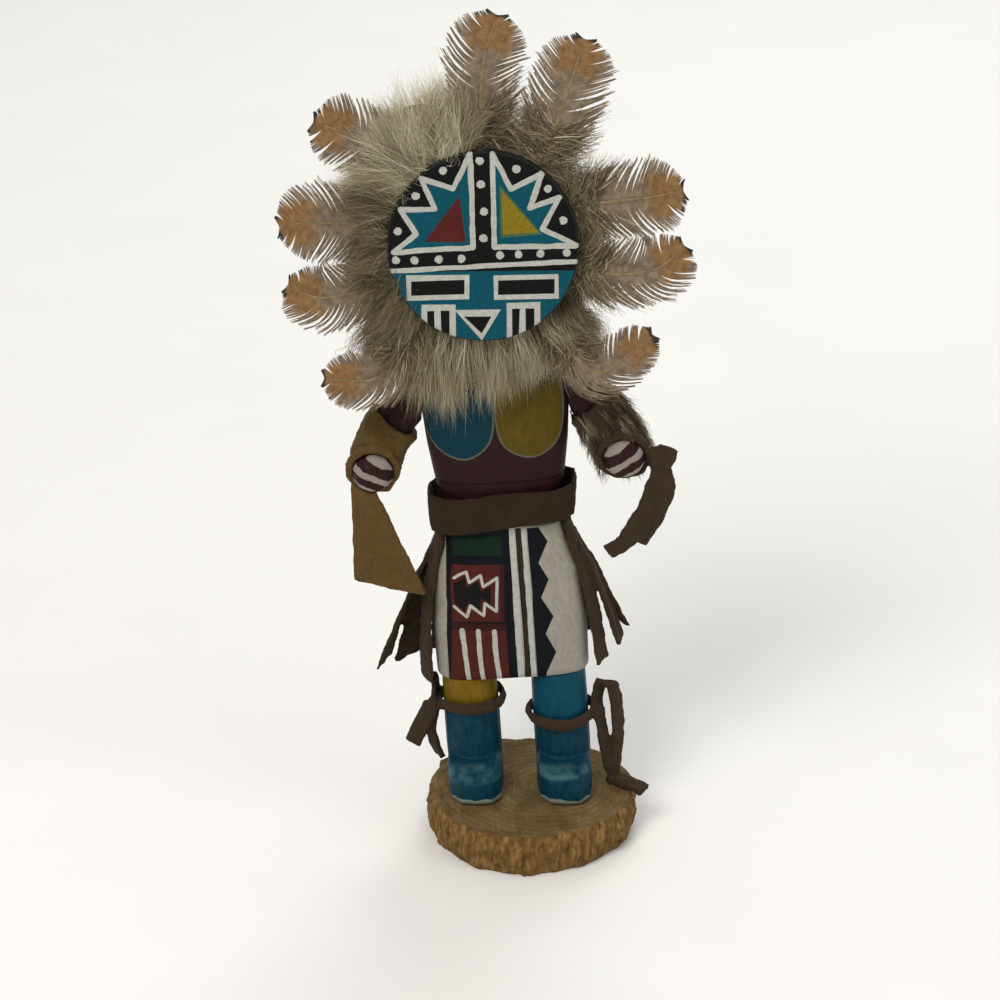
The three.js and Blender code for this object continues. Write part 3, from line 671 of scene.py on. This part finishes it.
def mask_paint():
    """The sun's face; the corners are fractions of the disc's radius."""
    art = Artwork(11)
    turn = np.linspace(0, 2 * math.pi, 97)[:-1]
    disc = np.stack([np.cos(turn), np.sin(turn)], 1)
    art.fill(disc * (MASK_RADIUS - 0.35), "black")
    chin = [tuple(p) for p in disc if p[1] < -0.25]
    chin.sort(key=lambda p: math.atan2(p[1], p[0]))
    art.fill(on_mask([(x * 0.985, z * 0.985) for x, z in chin]), "turquoise")
    right_star = [
        (-.12, .97), (-.30, .61), (-.63, .72), (-.49, .40),
        (-.85, .40), (-.69, .14), (-.93, -.05), (-.10, -.005),
    ]
    left_star = [
        (.11, .97), (.30, .60), (.63, .77), (.49, .40), (.80, .51), (.62, .18), (.97, .005), (.12, -.005),
    ]
    for star in (right_star, left_star):
        art.fill(on_mask(star), "turquoise")
        art.line(on_mask(star + star[:1]), 1.12, "white", 0.07)
    art.fill(on_mask([(-.23, .54), (-.18, .05), (-.60, .06)]), "mask_red", 0.08)
    art.fill(on_mask([(.185, .64), (.62, .125), (.185, .095)]), "mask_green", 0.05)
    art.fill(on_mask([(.20, .59), (.58, .145), (.205, .125)]), "mask_yellow", 0.08)
    art.line(on_mask([(-.97, -.248), (-.5, -.225), (0, -.2), (.5, -.18), (.97, -.165)]), 1.05, "white")
    for x0, x1 in ((-.755, -.195), (.155, .74)):
        white = [(x0 - .05, -.30), (x1 + .05, -.29), (x1 + .045, -.555), (x0 - .045, -.56)]
        art.fill(on_mask(white), "white", 0.08)
        art.fill(on_mask([(x0, -.355), (x1, -.345), (x1, -.50), (x0, -.505)]), "black", 0.06)
    for x0, x1, top in ((-.65, -.29, -.605), (.237, .593, -.592)):
        middle, below = (x0 + x1) / 2, top - 0.065
        foot = [(x, lower_edge(x)) for x in (x1, middle, x0)]
        art.fill(on_mask([(x0, top), (x1, top)] + foot), "white", 0.05)
        for a, b in ((x0 + 0.062, x0 + 0.135), (x1 - 0.155, x1 - 0.065)):
            art.fill(on_mask([(a, below), (b, below), (b, lower_edge(b)), (a, lower_edge(a))]), "black", 0.05)
    art.fill(on_mask([(-.304, -.662), (.178, -.662), (-.022, -.99)]), "white", 0.05)
    art.fill(on_mask([(-.205, -.735), (.082, -.735), (-.022, -.915)]), "black")
    for dots in (
        [(-.02, .90), (-.01, .65), (.015, .37), (.007, .09)],
        [(-.40, .80), (-.69, .54), (-.88, .17), (.36, .81), (.68, .60), (.84, .27)],
        [(-.905, -.134), (-.71, -.137), (-.46, -.13), (-.225, -.122)],
        [(.18, -.09), (.37, -.083), (.60, -.076), (.87, -.071)],
    ):
        for x, z in on_mask(dots):
            art.dot(x, z, 0.9, "white")
    rings = (4, 9, 14, 18, 19.5, 19.85, 20.08)
    grid = np.array([(r * math.cos(a), r * math.sin(a)) for r in rings for a in turn])
    flat, triangles, colors = art.cut(disc * MASK_RADIUS, grid, "rim")
    rim = [(MASK_RADIUS * math.cos(a), MASK_RADIUS * math.sin(a)) for a in turn]
    caps = [([(x, MASK_THICK, z) for x, z in rim][::-1], (0, 1, 0), "rim")]
    for (x0, z0), (x1, z1) in zip(rim, rim[1:] + rim[:1]):
        side = [(x0, MASK_EDGE, z0), (x0, MASK_THICK, z0), (x1, MASK_THICK, z1), (x1, MASK_EDGE, z1)]
        outward = ((x0 + x1) / 2 / MASK_RADIUS, 0, (z0 + z1) / 2 / MASK_RADIUS)
        caps.append((side, outward, "rim"))
    painted("sun_face", flat, triangles, colors, mask_surface, HEADDRESS, "mask_paint", "sun_mask", caps)


mask_paint()


# ---- legs and arms ----
def leg_paint(name, shin, lace):
    """Painted shin, and below the lace a blue boot with a pale uneven sole line; the toe tops carry lighter
    blue blotches, partly wear and partly a painted highlight.
    """
    s = Shader(name, 0.5, Specular_IOR_Level=0.1)
    brushed = s.noise(1.2, 4, (1, 1, 0.3))
    patch = s.noise(0.25, 3)
    above = s.blend(brushed, shade(srgb(*shin), 0.8), shade(srgb(*shin), 1.2))
    boot = s.blend(brushed, srgb(4, 40, 54), srgb(9, 60, 76))
    # Lighter blue blotches on the upward top of the toe: partly wear, partly a painted highlight where the
    # top catches the light.
    toe_wear_and_highlight = s.times(s.step(s.times(s.at("Y"), -1), 7, 10), s.step(s.at("Z"), 5.9, 6.6))
    boot = s.mix(s.times(toe_wear_and_highlight, s.step(patch, 0.3, 0.62)), boot, srgb(58, 92, 98))
    color = s.mix(s.step(s.at("Z"), lace - 0.3, lace + 0.3), boot, above)
    height = s.minus(s.times(s.axis("Z"), TO_MM), BASE_HEIGHT)
    sole = s.step(s.plus(height, s.times(s.noise(0.35, 2), 1.6)), 2.75, 2.5)
    s.color(s.mix(sole, color, srgb(124, 130, 122))).rough(brushed, 0.42, 0.6)
    s.bump(brushed, 0.05)
    return s.material


def arm_paint(name, side):
    """Maroon, with three slanting white stripes across the end of the fist."""
    across, up = 0.505, 0.863
    s = Shader(name, 0.5, Specular_IOR_Level=0.1)
    brushed = s.noise(1.3, 4, (1, 1, 0.4))
    skin = s.blend(brushed, srgb(34, 16, 17), srgb(48, 25, 26))
    slant = s.plus(s.times(s.at("X"), -across * side), s.times(s.at("Z"), up))
    slant = s.plus(slant, s.times(s.minus(s.noise(0.6, 2), 0.5), 0.9))
    stripes = 0.0
    for level in (61.5, 57.6, 54.2):
        away = s.math("ABSOLUTE", s.minus(slant, level))
        stripes = s.math("MAXIMUM", s.step(away, 0.85, 0.7), stripes)
    fist = s.step(s.times(s.at("Y"), -1), 9.4, 9.8)
    s.color(s.mix(s.times(stripes, fist), skin, srgb(136, 128, 122))).rough(brushed, 0.42, 0.6)
    s.bump(brushed, 0.05)
    return s.material


for side, shin, lace in (("right", (106, 84, 14), 22), ("left", (5, 64, 80), 17)):
    leg = leg_paint(f"paint_{side}_leg", shin, lace)
    soft_copy(f"{side}_leg_paint", f"{side}_leg", leg, "painted_wood", 0.3, 5)
for side, sign in (("right", -1), ("left", 1)):
    arm = arm_paint(f"paint_{side}_arm", sign)
    soft_copy(f"{side}_arm_paint", f"{side}_arm", arm, "painted_wood", 0.33, 12)

# ---- suede and hide ----
dark_suede = suede("suede_belt", (42, 32, 21))
fringe_suede = suede("suede_fringe", (53, 41, 29))
strip_suede = suede("suede_strip", (54, 43, 31))
pale_hide = suede("hide_pale", (84, 65, 35))
grey_hide = suede("hide_grey", (57, 48, 39))
for title, node, material, slot_name, depth in (
    ("belt_suede", "belt", dark_suede, "brown_suede", 0.18),
    ("right_fringe_suede", "right_fringe", fringe_suede, "brown_suede", 0.35),
    ("left_fringe_suede", "left_fringe", fringe_suede, "brown_suede", 0.35),
    ("left_wrist_suede", "left_wrist_strip", strip_suede, "brown_suede", 0.35),
    ("right_wrist_hide", "right_wrist_flap", pale_hide, "pale_hide", 0.3),
    ("right_ankle_suede", "right_ankle_tie", strip_suede, "brown_suede", 0.3),
    ("left_ankle_suede", "left_ankle_tie", strip_suede, "brown_suede", 0.3),
    ("right_cuff_hide", "right_arm_cuff", pale_hide, "pale_hide", 0.3),
    ("left_cuff_hide", "left_arm_cuff", grey_hide, "grey_hide", 0.3),
):
    soft_copy(title, node, material, slot_name, 0.3, 4, uneven(depth))


# ---- hair and down ----
def ribbons(centres, halves):
    """Flat ribbons from centre lines (n, k, 3) and half width vectors; returns points and quads."""
    n, k = centres.shape[:2]
    points = np.stack([centres - halves, centres + halves], 2).reshape(-1, 3)
    first = (np.arange(n)[:, None] * k + np.arange(k - 1)[None, :]).ravel() * 2
    return points, np.stack([first, first + 1, first + 3, first + 2], 1)


def hair_material():
    """UV x picks the hair's tone from dark brown to cream; y runs from root to tip."""
    s = Shader("fur_hair", 0.62, Sheen_Weight=0.15)
    shade_place, along = s.uv()
    tone = s.ramp(
        shade_place,
        (0.0, srgb(46, 38, 28)), (0.3, srgb(94, 79, 57)), (0.55, srgb(146, 132, 102)),
        (0.8, srgb(196, 189, 157)), (1.0, srgb(228, 223, 199)),
    )
    color = s.mix(s.step(along, 0.45, 0.0), tone, srgb(84, 72, 52))
    s.color(color).thin(color)
    return s.material


HAIR = hair_material()


def tufts(
    name, guides, tones, per, width, root_spread, tip_spread, curl, seed, slot_name="fur", place=HEADDRESS,
):
    """Locks of hair: each guide is a Bezier line of four points, clothed with per hairs."""
    rng = np.random.default_rng(seed)
    guides = np.asarray(guides, float)
    which = np.repeat(np.arange(len(guides)), per)
    n, knots = len(which), 6
    share = np.linspace(0, 1, knots)
    q = share[None, :, None] * rng.uniform(0.68, 1.0, n)[:, None, None]
    p = guides[which][:, :, None, :]
    weights = ((1 - q) ** 3, 3 * q * (1 - q) ** 2, 3 * q * q * (1 - q), q ** 3)
    line = sum(weight * p[:, k] for k, weight in enumerate(weights))
    near = rng.normal(0, 1, (n, 1, 3)) * root_spread
    far = rng.normal(0, 1, (n, 1, 3)) * tip_spread
    line = line + near * (1 - q) + far * q
    for _ in range(2):
        way = rng.normal(0, 1, (n, 1, 3))
        waves = q * rng.uniform(3, 9, (n, 1, 1)) + rng.uniform(0, 6.3, (n, 1, 1))
        line = line + way * curl * q * np.sin(waves)
    flat = unit(np.cross(np.gradient(line, axis=1), rng.normal(0, 1, (n, 1, 3))))
    taper = np.linspace(1, 0, knots)[None, :, None] ** 0.6
    points, faces = ribbons(line, flat * taper * width / 2 * rng.uniform(0.6, 1.3, (n, 1, 1)))
    tone = np.clip(np.asarray(tones, float)[which] + rng.normal(0, 0.1, n), 0.02, 0.98)
    uv = np.stack([np.repeat(tone, 2 * knots), np.repeat(np.tile(share, n), 2)], 1)
    stands_for(build(name, points, faces, [HAIR], place=place, uv=uv, smooth=False), slot_name)


# Degrees round the mask, from the doll's left up over the top, and how far the fur reaches there.
RUFF_EDGE = np.array([
    (-90, 25), (-60, 27), (-30, 29), (30, 28), (75, 28.5), (95, 35), (118, 41), (140, 38), (170, 32),
    (205, 33), (235, 33), (270, 25),
], float)


def ruff_reach(degrees):
    return np.interp((degrees + 90) % 360 - 90, RUFF_EDGE[:, 0], RUFF_EDGE[:, 1])


def spoke(angle):
    """From the middle of the mask outward, length 1."""
    return np.array([math.cos(angle), 0, math.sin(angle)])


def sideways(angle):
    """Square to the spoke, length 1."""
    return np.array([-math.sin(angle), 0, math.cos(angle)])


def under_fur():
    """The skin the hair grows from, hidden under it."""
    s = Shader("fur_skin", 0.9)
    s.color(s.blend(s.noise(1.0, 3), srgb(52, 43, 31), srgb(84, 72, 52)))
    inner, depth, half_depth = 10.6, 11.2, 3.6
    points, faces, around, across = [], [], 64, 12
    for i in range(around):
        a = 2 * math.pi * i / around
        outer = 0.8 * float(ruff_reach(math.degrees(a)))
        for j in range(across):
            b = 2 * math.pi * j / across
            r = (inner + outer) / 2 + (outer - inner) / 2 * math.cos(b)
            points.append((r * math.cos(a), depth + half_depth * math.sin(b), r * math.sin(a)))
            here, there, after = i * across, (i + 1) % around * across, (j + 1) % across
            faces.append((here + j, here + after, there + after, there + j))
    stands_for(build("fur_skin", points, faces, [s.material], place=HEADDRESS), "fur", "fur_ruff")


under_fur()


def ruff_guides(count, seed):
    """Locks of the collar, cream above the doll's right ear and brown elsewhere."""
    rng = np.random.default_rng(seed)
    guides, tones = [], []
    for _ in range(count):
        degrees = rng.uniform(-70, 250)
        a = math.radians(degrees)
        b = a + rng.normal(0, 0.16)
        reach = float(ruff_reach(degrees)) * rng.uniform(0.74, 1.04)
        start, y = rng.uniform(11, 0.62 * reach), rng.uniform(7.6, 15.2)
        bend = sideways(a) * rng.normal(0, 1.8)
        root = spoke(a) * start + (0, y, 0)
        tip = spoke(b) * reach + (0, y + rng.normal(0.4, 1.6), -abs(rng.normal(0, 0.8)))
        lift = (0, (y - 11.4) * 0.35, 0)
        near = root + (tip - root) * 0.35 + bend + lift
        guides.append([root, near, root + (tip - root) * 0.7 + bend * 0.6 + lift, tip])
        cream = math.exp(-((degrees - 118) / 30) ** 2)
        left = math.exp(-((degrees - 195) / 40) ** 2)
        tones.append(0.30 + 0.55 * cream + 0.18 * left + rng.normal(0, 0.1))
    return guides, tones


def crown_guides(seed):
    """The full pale locks that lean over the mask's upper right edge, and browner ones down that side."""
    rng = np.random.default_rng(seed)
    locks, pale, seat = 150, 95, 5.4
    guides, tones = [], []
    for number in range(locks):
        degrees = rng.uniform(98, 150) if number < pale else rng.uniform(148, 222)
        a = math.radians(degrees)
        b = a + rng.normal(0, 0.2)
        reach = float(ruff_reach(degrees)) * rng.uniform(0.62, 1.03)
        start, forward = rng.uniform(16, max(18, 0.72 * reach)), rng.uniform(0.5, 4.5)
        root = spoke(a) * start + (0, seat, 0)
        tip = spoke(b) * reach + (0, seat - forward, rng.normal(-0.6, 0.8))
        bend = sideways(a) * rng.normal(0, 2.2)
        middle = root + (tip - root) * 0.5 + bend + (0, -0.7 * forward, 0)
        guides.append([root, root + (tip - root) * 0.2 + (0, -0.6 * forward, 0), middle, tip])
        cream = math.exp(-((degrees - 122) / 26) ** 2)
        tones.append(0.46 + 0.42 * cream + rng.normal(0, 0.09))
    return guides, tones


# The beard's groups of locks: where each starts and ends across the mask, and how far down it hangs.
BEARD = (
    (-18, -26, 30), (-17, -23, 34), (-14, -18.5, 38), (-11, -13, 37), (-7, -8.5, 40), (-3, -3.5, 38.5),
    (1, 1.5, 36.5), (5, 6.5, 36), (9, 11.5, 33), (13, 16.5, 30), (15, 20, 27),
)


def beard_guides(seed):
    """The long pale locks below the mask."""
    rng = np.random.default_rng(seed)
    locks = 15
    guides, tones = [], []
    for x, tip, reach in BEARD:
        for _ in range(locks):
            shift, depth = rng.normal(0, 1.9), rng.uniform(5.4, 10.6)
            length = reach * rng.uniform(0.72, 1.03)
            root = np.array([x + shift, depth, -12 - rng.uniform(0, 3)])
            end = np.array([tip + shift * 1.4 + rng.normal(0, 1.2), 9.3 + rng.normal(0, 0.7), -length])
            sway = rng.normal(0, 2.0)
            guides.append([root, root + (sway, -2.2, -7), end + (-sway, -1.6, 8), end])
            tones.append(0.68 + rng.normal(0, 0.12) - 0.12 * (abs(x) > 12))
    return guides, tones


tufts("fur_ruff_hair", *ruff_guides(count=360, seed=21),
      per=52, width=0.2, root_spread=1.3, tip_spread=1.1, curl=0.6, seed=22)
tufts("fur_crown_hair", *crown_guides(seed=41),
      per=125, width=0.15, root_spread=1.2, tip_spread=1.3, curl=1.1, seed=42)
tufts("fur_beard_hair", *beard_guides(seed=31),
      per=112, width=0.16, root_spread=0.9, tip_spread=1.2, curl=1.1, seed=32)

# ---- feathers ----
# Share of the length from the foot, and the share of the full width there.
VANE = np.array([
    (0, 0.09), (0.11, 0.09), (0.2, 0.6), (0.45, 0.88), (0.7, 1), (0.86, 0.92), (0.94, 0.7), (1, 0.3),
])
VANE_SPAN = 50

# Points of the shaft (x, z) in front view, the vane's width, and its depth behind the mask's front.
FEATHERS = {
    "top": ([(0.6, 16), (1.1, 27), (2.6, 38.5), (6, 48)], 17, 5.95),
    "upper_left": ([(10.6, 13), (15, 20), (20, 32), (24, 42)], 17, 4.75),
    "side_left": ([(13.5, 4), (22, 6.5), (35, 7.5), (43, 8.8)], 17, 5.95),
    "lower_left": ([(13.5, -3.5), (25, -8), (36, -7.6), (42.5, -2.5)], 15, 4.75),
    "bottom_left": ([(13, -13.5), (17, -24), (23.5, -29.5), (35, -21.5)], 12, 5.95),
    "upper_right": ([(-10.6, 12.6), (-16, 18), (-25, 24), (-34, 28)], 16, 4.75),
    "side_right": ([(-13.5, 3), (-24, 5), (-36, 6.5), (-43, 6)], 17, 5.95),
    "lower_right": ([(-13.3, -4), (-24, -8), (-35, -9.5), (-42, -6)], 15, 4.75),
    "bottom_right": ([(-13, -12.5), (-18, -21), (-25, -28), (-36, -27)], 13, 5.95),
}


def vane_material():
    """Flank feather: UV x is the distance from the tip over VANE_SPAN, y the place across the vane."""
    s = Shader("feather_vane", 0.62, Sheen_Weight=0.2)
    from_tip, across = s.uv()
    back = s.plus(s.times(from_tip, VANE_SPAN), s.times(s.noise(0.5, 3), 1.6))
    aside = s.math("ABSOLUTE", s.minus(across, 0.5))
    fleck = s.noise(0.7, 3)
    grey = s.blend(fleck, srgb(108, 92, 73), srgb(142, 125, 102), 0.35, 0.65)
    tan = s.blend(fleck, srgb(122, 88, 47), srgb(150, 115, 68), 0.35, 0.65)
    band = s.blend(fleck, srgb(22, 20, 17), srgb(40, 34, 27))
    centre = s.times(s.step(back, 11.0, 8.5), s.step(aside, 0.32, 0.22))
    color = s.mix(centre, grey, tan)
    blot = s.plus(back, s.times(s.noise(0.22, 2), 2.5))
    color = s.mix(s.step(blot, 4.1, 3.4), color, band)
    color = s.mix(s.step(back, 20, 30), color, srgb(84, 72, 54))
    s.color(color).thin(color, 0.25)
    return s.material


def shaft_material():
    s = Shader("feather_shaft", 0.4)
    s.color(s.blend(s.noise(0.8, 2), srgb(120, 102, 70), srgb(158, 140, 104)))
    return s.material


FEATHER_MATERIALS = [vane_material(), shaft_material(), HAIR]
BARB, SHAFT, DOWN = 0, 1, 2


def feather(name, path, width, layer, seed):
    """Shaft, vane barbs in small groups, and down about the foot of the vane."""
    rng = np.random.default_rng(seed)
    stations = 80
    spine = catmull(path, stations)
    length = float(np.linalg.norm(np.diff(spine, axis=0), axis=1).sum())
    share = np.linspace(0, 1, stations)
    way = unit(np.gradient(spine, axis=0))
    points, faces, uvs, indices = [], [], [], []
    q = np.linspace(0, 1, 7)[None, :]

    def lay(along, lateral, lift):
        """Points from share along the shaft, millimetres beside it and above it."""
        t = np.clip(along, 0, 1)
        past = (along - t) * length
        x, z = (np.interp(t, share, spine[:, k]) for k in (0, 1))
        tx, tz = (np.interp(t, share, way[:, k]) for k in (0, 1))
        camber = 0.5 * np.abs(lateral) / width
        y = layer + camber - 1.6 * along ** 3 - lift
        return np.stack([x + lateral * tz + past * tx, y, z - lateral * tx + past * tz], -1)

    def add(centres, halves, uv, index):
        corners, quads = ribbons(centres, halves)
        faces.append(quads + sum(len(p) for p in points))
        points.append(corners)
        uvs.append(np.repeat(uv.reshape(-1, 2), 2, axis=0))
        indices.append(np.full(len(quads), index))

    def barbs(side):
        """One side of the vane; neighbouring barbs cling together, most of all near the foot."""
        pitch = 0.15
        count = int(length / pitch)
        a = np.linspace(0.12, 0.985, count)[:, None]
        sizes = rng.integers(6, 12, count)
        string = np.repeat(np.arange(count), sizes)[:count]
        group = rng.normal(0, 1, count)[string][:, None]
        centre = (np.bincount(string, a[:, 0]) / np.bincount(string))[string][:, None]
        gather = np.interp(a, [0.5, 0.64, 0.76], [0.93, 0.9, 0.12])
        foot = a + (centre - a) * gather
        end = foot + (0.235 + 0.012 * group) * np.sqrt(1 - a)
        half = 0.5 * width * np.interp(np.minimum(end, 1), VANE[:, 0], VANE[:, 1])
        uneven_ends = 1 + 0.06 * group * (gather > 0.3) + rng.normal(0, 0.03, (count, 1))
        half = half * uneven_ends * np.clip(1 - (end - 1) * 8, 0.1, 1)
        along = a + (end - a) * q ** 1.45
        lateral = side * half * q ** 0.92
        lift = 0.16 + 0.08 * rng.normal(0, 1, (count, 1)) * q + 0.25 * q * (1 - q)
        line = lay(along, lateral, lift)
        facing = np.array([0, 1, 0]) + rng.normal(0, 0.12, (count, 1, 3))
        flat = unit(np.cross(np.gradient(line, axis=1), facing))
        thick = ((0.17 - 0.05 * gather) * (1 - 0.75 * q ** 3))[:, :, None]
        bow = 3.2 * (np.abs(lateral) / (0.5 * width)) ** 2
        from_tip = np.clip((1.0 - along) * length - bow + 1.2, 0, VANE_SPAN) / VANE_SPAN
        add(line, flat * thick, np.stack([from_tip, 0.5 + lateral / width], -1), BARB)

    def down(side):
        """Loose wavy down about the foot of the vane; its UV is the hair's tone and root to tip."""
        count = 420
        a = rng.uniform(0.08, 0.38, (count, 1))
        reach = side * width * rng.uniform(0.25, 0.62, (count, 1))
        along = a + rng.normal(0.1, 0.1, (count, 1)) * q ** 1.2
        wave = 0.5 * np.sin(q * rng.uniform(4, 11, (count, 1)) + rng.uniform(0, 6, (count, 1)))
        lift = rng.normal(0.1, 0.9, (count, 1)) * q + wave
        line = lay(along + 0.02 * wave, reach * q, lift)
        flat = unit(np.cross(np.gradient(line, axis=1), rng.normal(0, 1, (count, 1, 3))))
        thick = (0.11 * (1 - 0.8 * q ** 2))[:, :, None]
        tone = np.broadcast_to(np.clip(rng.normal(0.5, 0.14, (count, 1)), 0.05, 0.9), line.shape[:2])
        outward = 0.5 + 0.5 * np.broadcast_to(q, tone.shape)
        add(line, flat * thick, np.stack([tone, outward], -1), DOWN)

    for side in (-1, 1):
        barbs(side)
        down(side)
    along = np.linspace(0, 0.93, 30)[None, :]
    line = lay(along, 0 * along, 0.3 + 0 * along)
    upright = np.broadcast_to((0, 1.0, 0), line.shape)
    thick = (0.42 * (1 - along) + 0.1)[:, :, None]
    for flat in (np.cross(np.gradient(line, axis=1), upright), upright):
        add(line, unit(flat) * thick, np.zeros(line.shape[:2] + (2,)), SHAFT)
    return build(
        name, np.concatenate(points), np.concatenate(faces), FEATHER_MATERIALS, np.concatenate(indices),
        HEADDRESS, uv=np.concatenate(uvs), smooth=False,
    )


for number, (key, (path, width, layer)) in enumerate(FEATHERS.items()):
    plume = feather(f"plume_{key}", path, width, layer, 50 + number)
    stands_for(plume, "feather", f"feather_{key}")


def cuff_hair():
    """Long hairs left on the hide about the left forearm."""
    rng = np.random.default_rng(61)
    hairs, hide_radius = 110, 5.2
    arm_line = [(12.2, 0, 100), (19.7, 0.2, 93.6), (24.6, -0.6, 87.6), (27, -5.4, 84.2), (27.4, -12.4, 82.4)]
    path = catmull(arm_line, 100)
    guides, tones = [], []
    for _ in range(hairs):
        k = int(rng.uniform(34, 74))
        along = path[k + 1] - path[k - 1]
        along /= np.linalg.norm(along)
        away = np.cross(along, rng.normal(0, 1, 3))
        away /= np.linalg.norm(away)
        root = path[k] + away * hide_radius
        tip = root + along * rng.uniform(3, 7) + away * rng.uniform(0.3, 2.6) + (0, 0, -1.2)
        guides.append([root, root + along * 1.2 + away * 1.0, tip - along * 1.5 + away * 0.4, tip])
        tones.append(rng.normal(0.34, 0.14))
    tufts("left_cuff_hair", guides, tones, per=26, width=0.15, root_spread=0.5, tip_spread=0.6, curl=0.4,
          seed=62, slot_name="grey_hide", place=FIGURE)


cuff_hair()
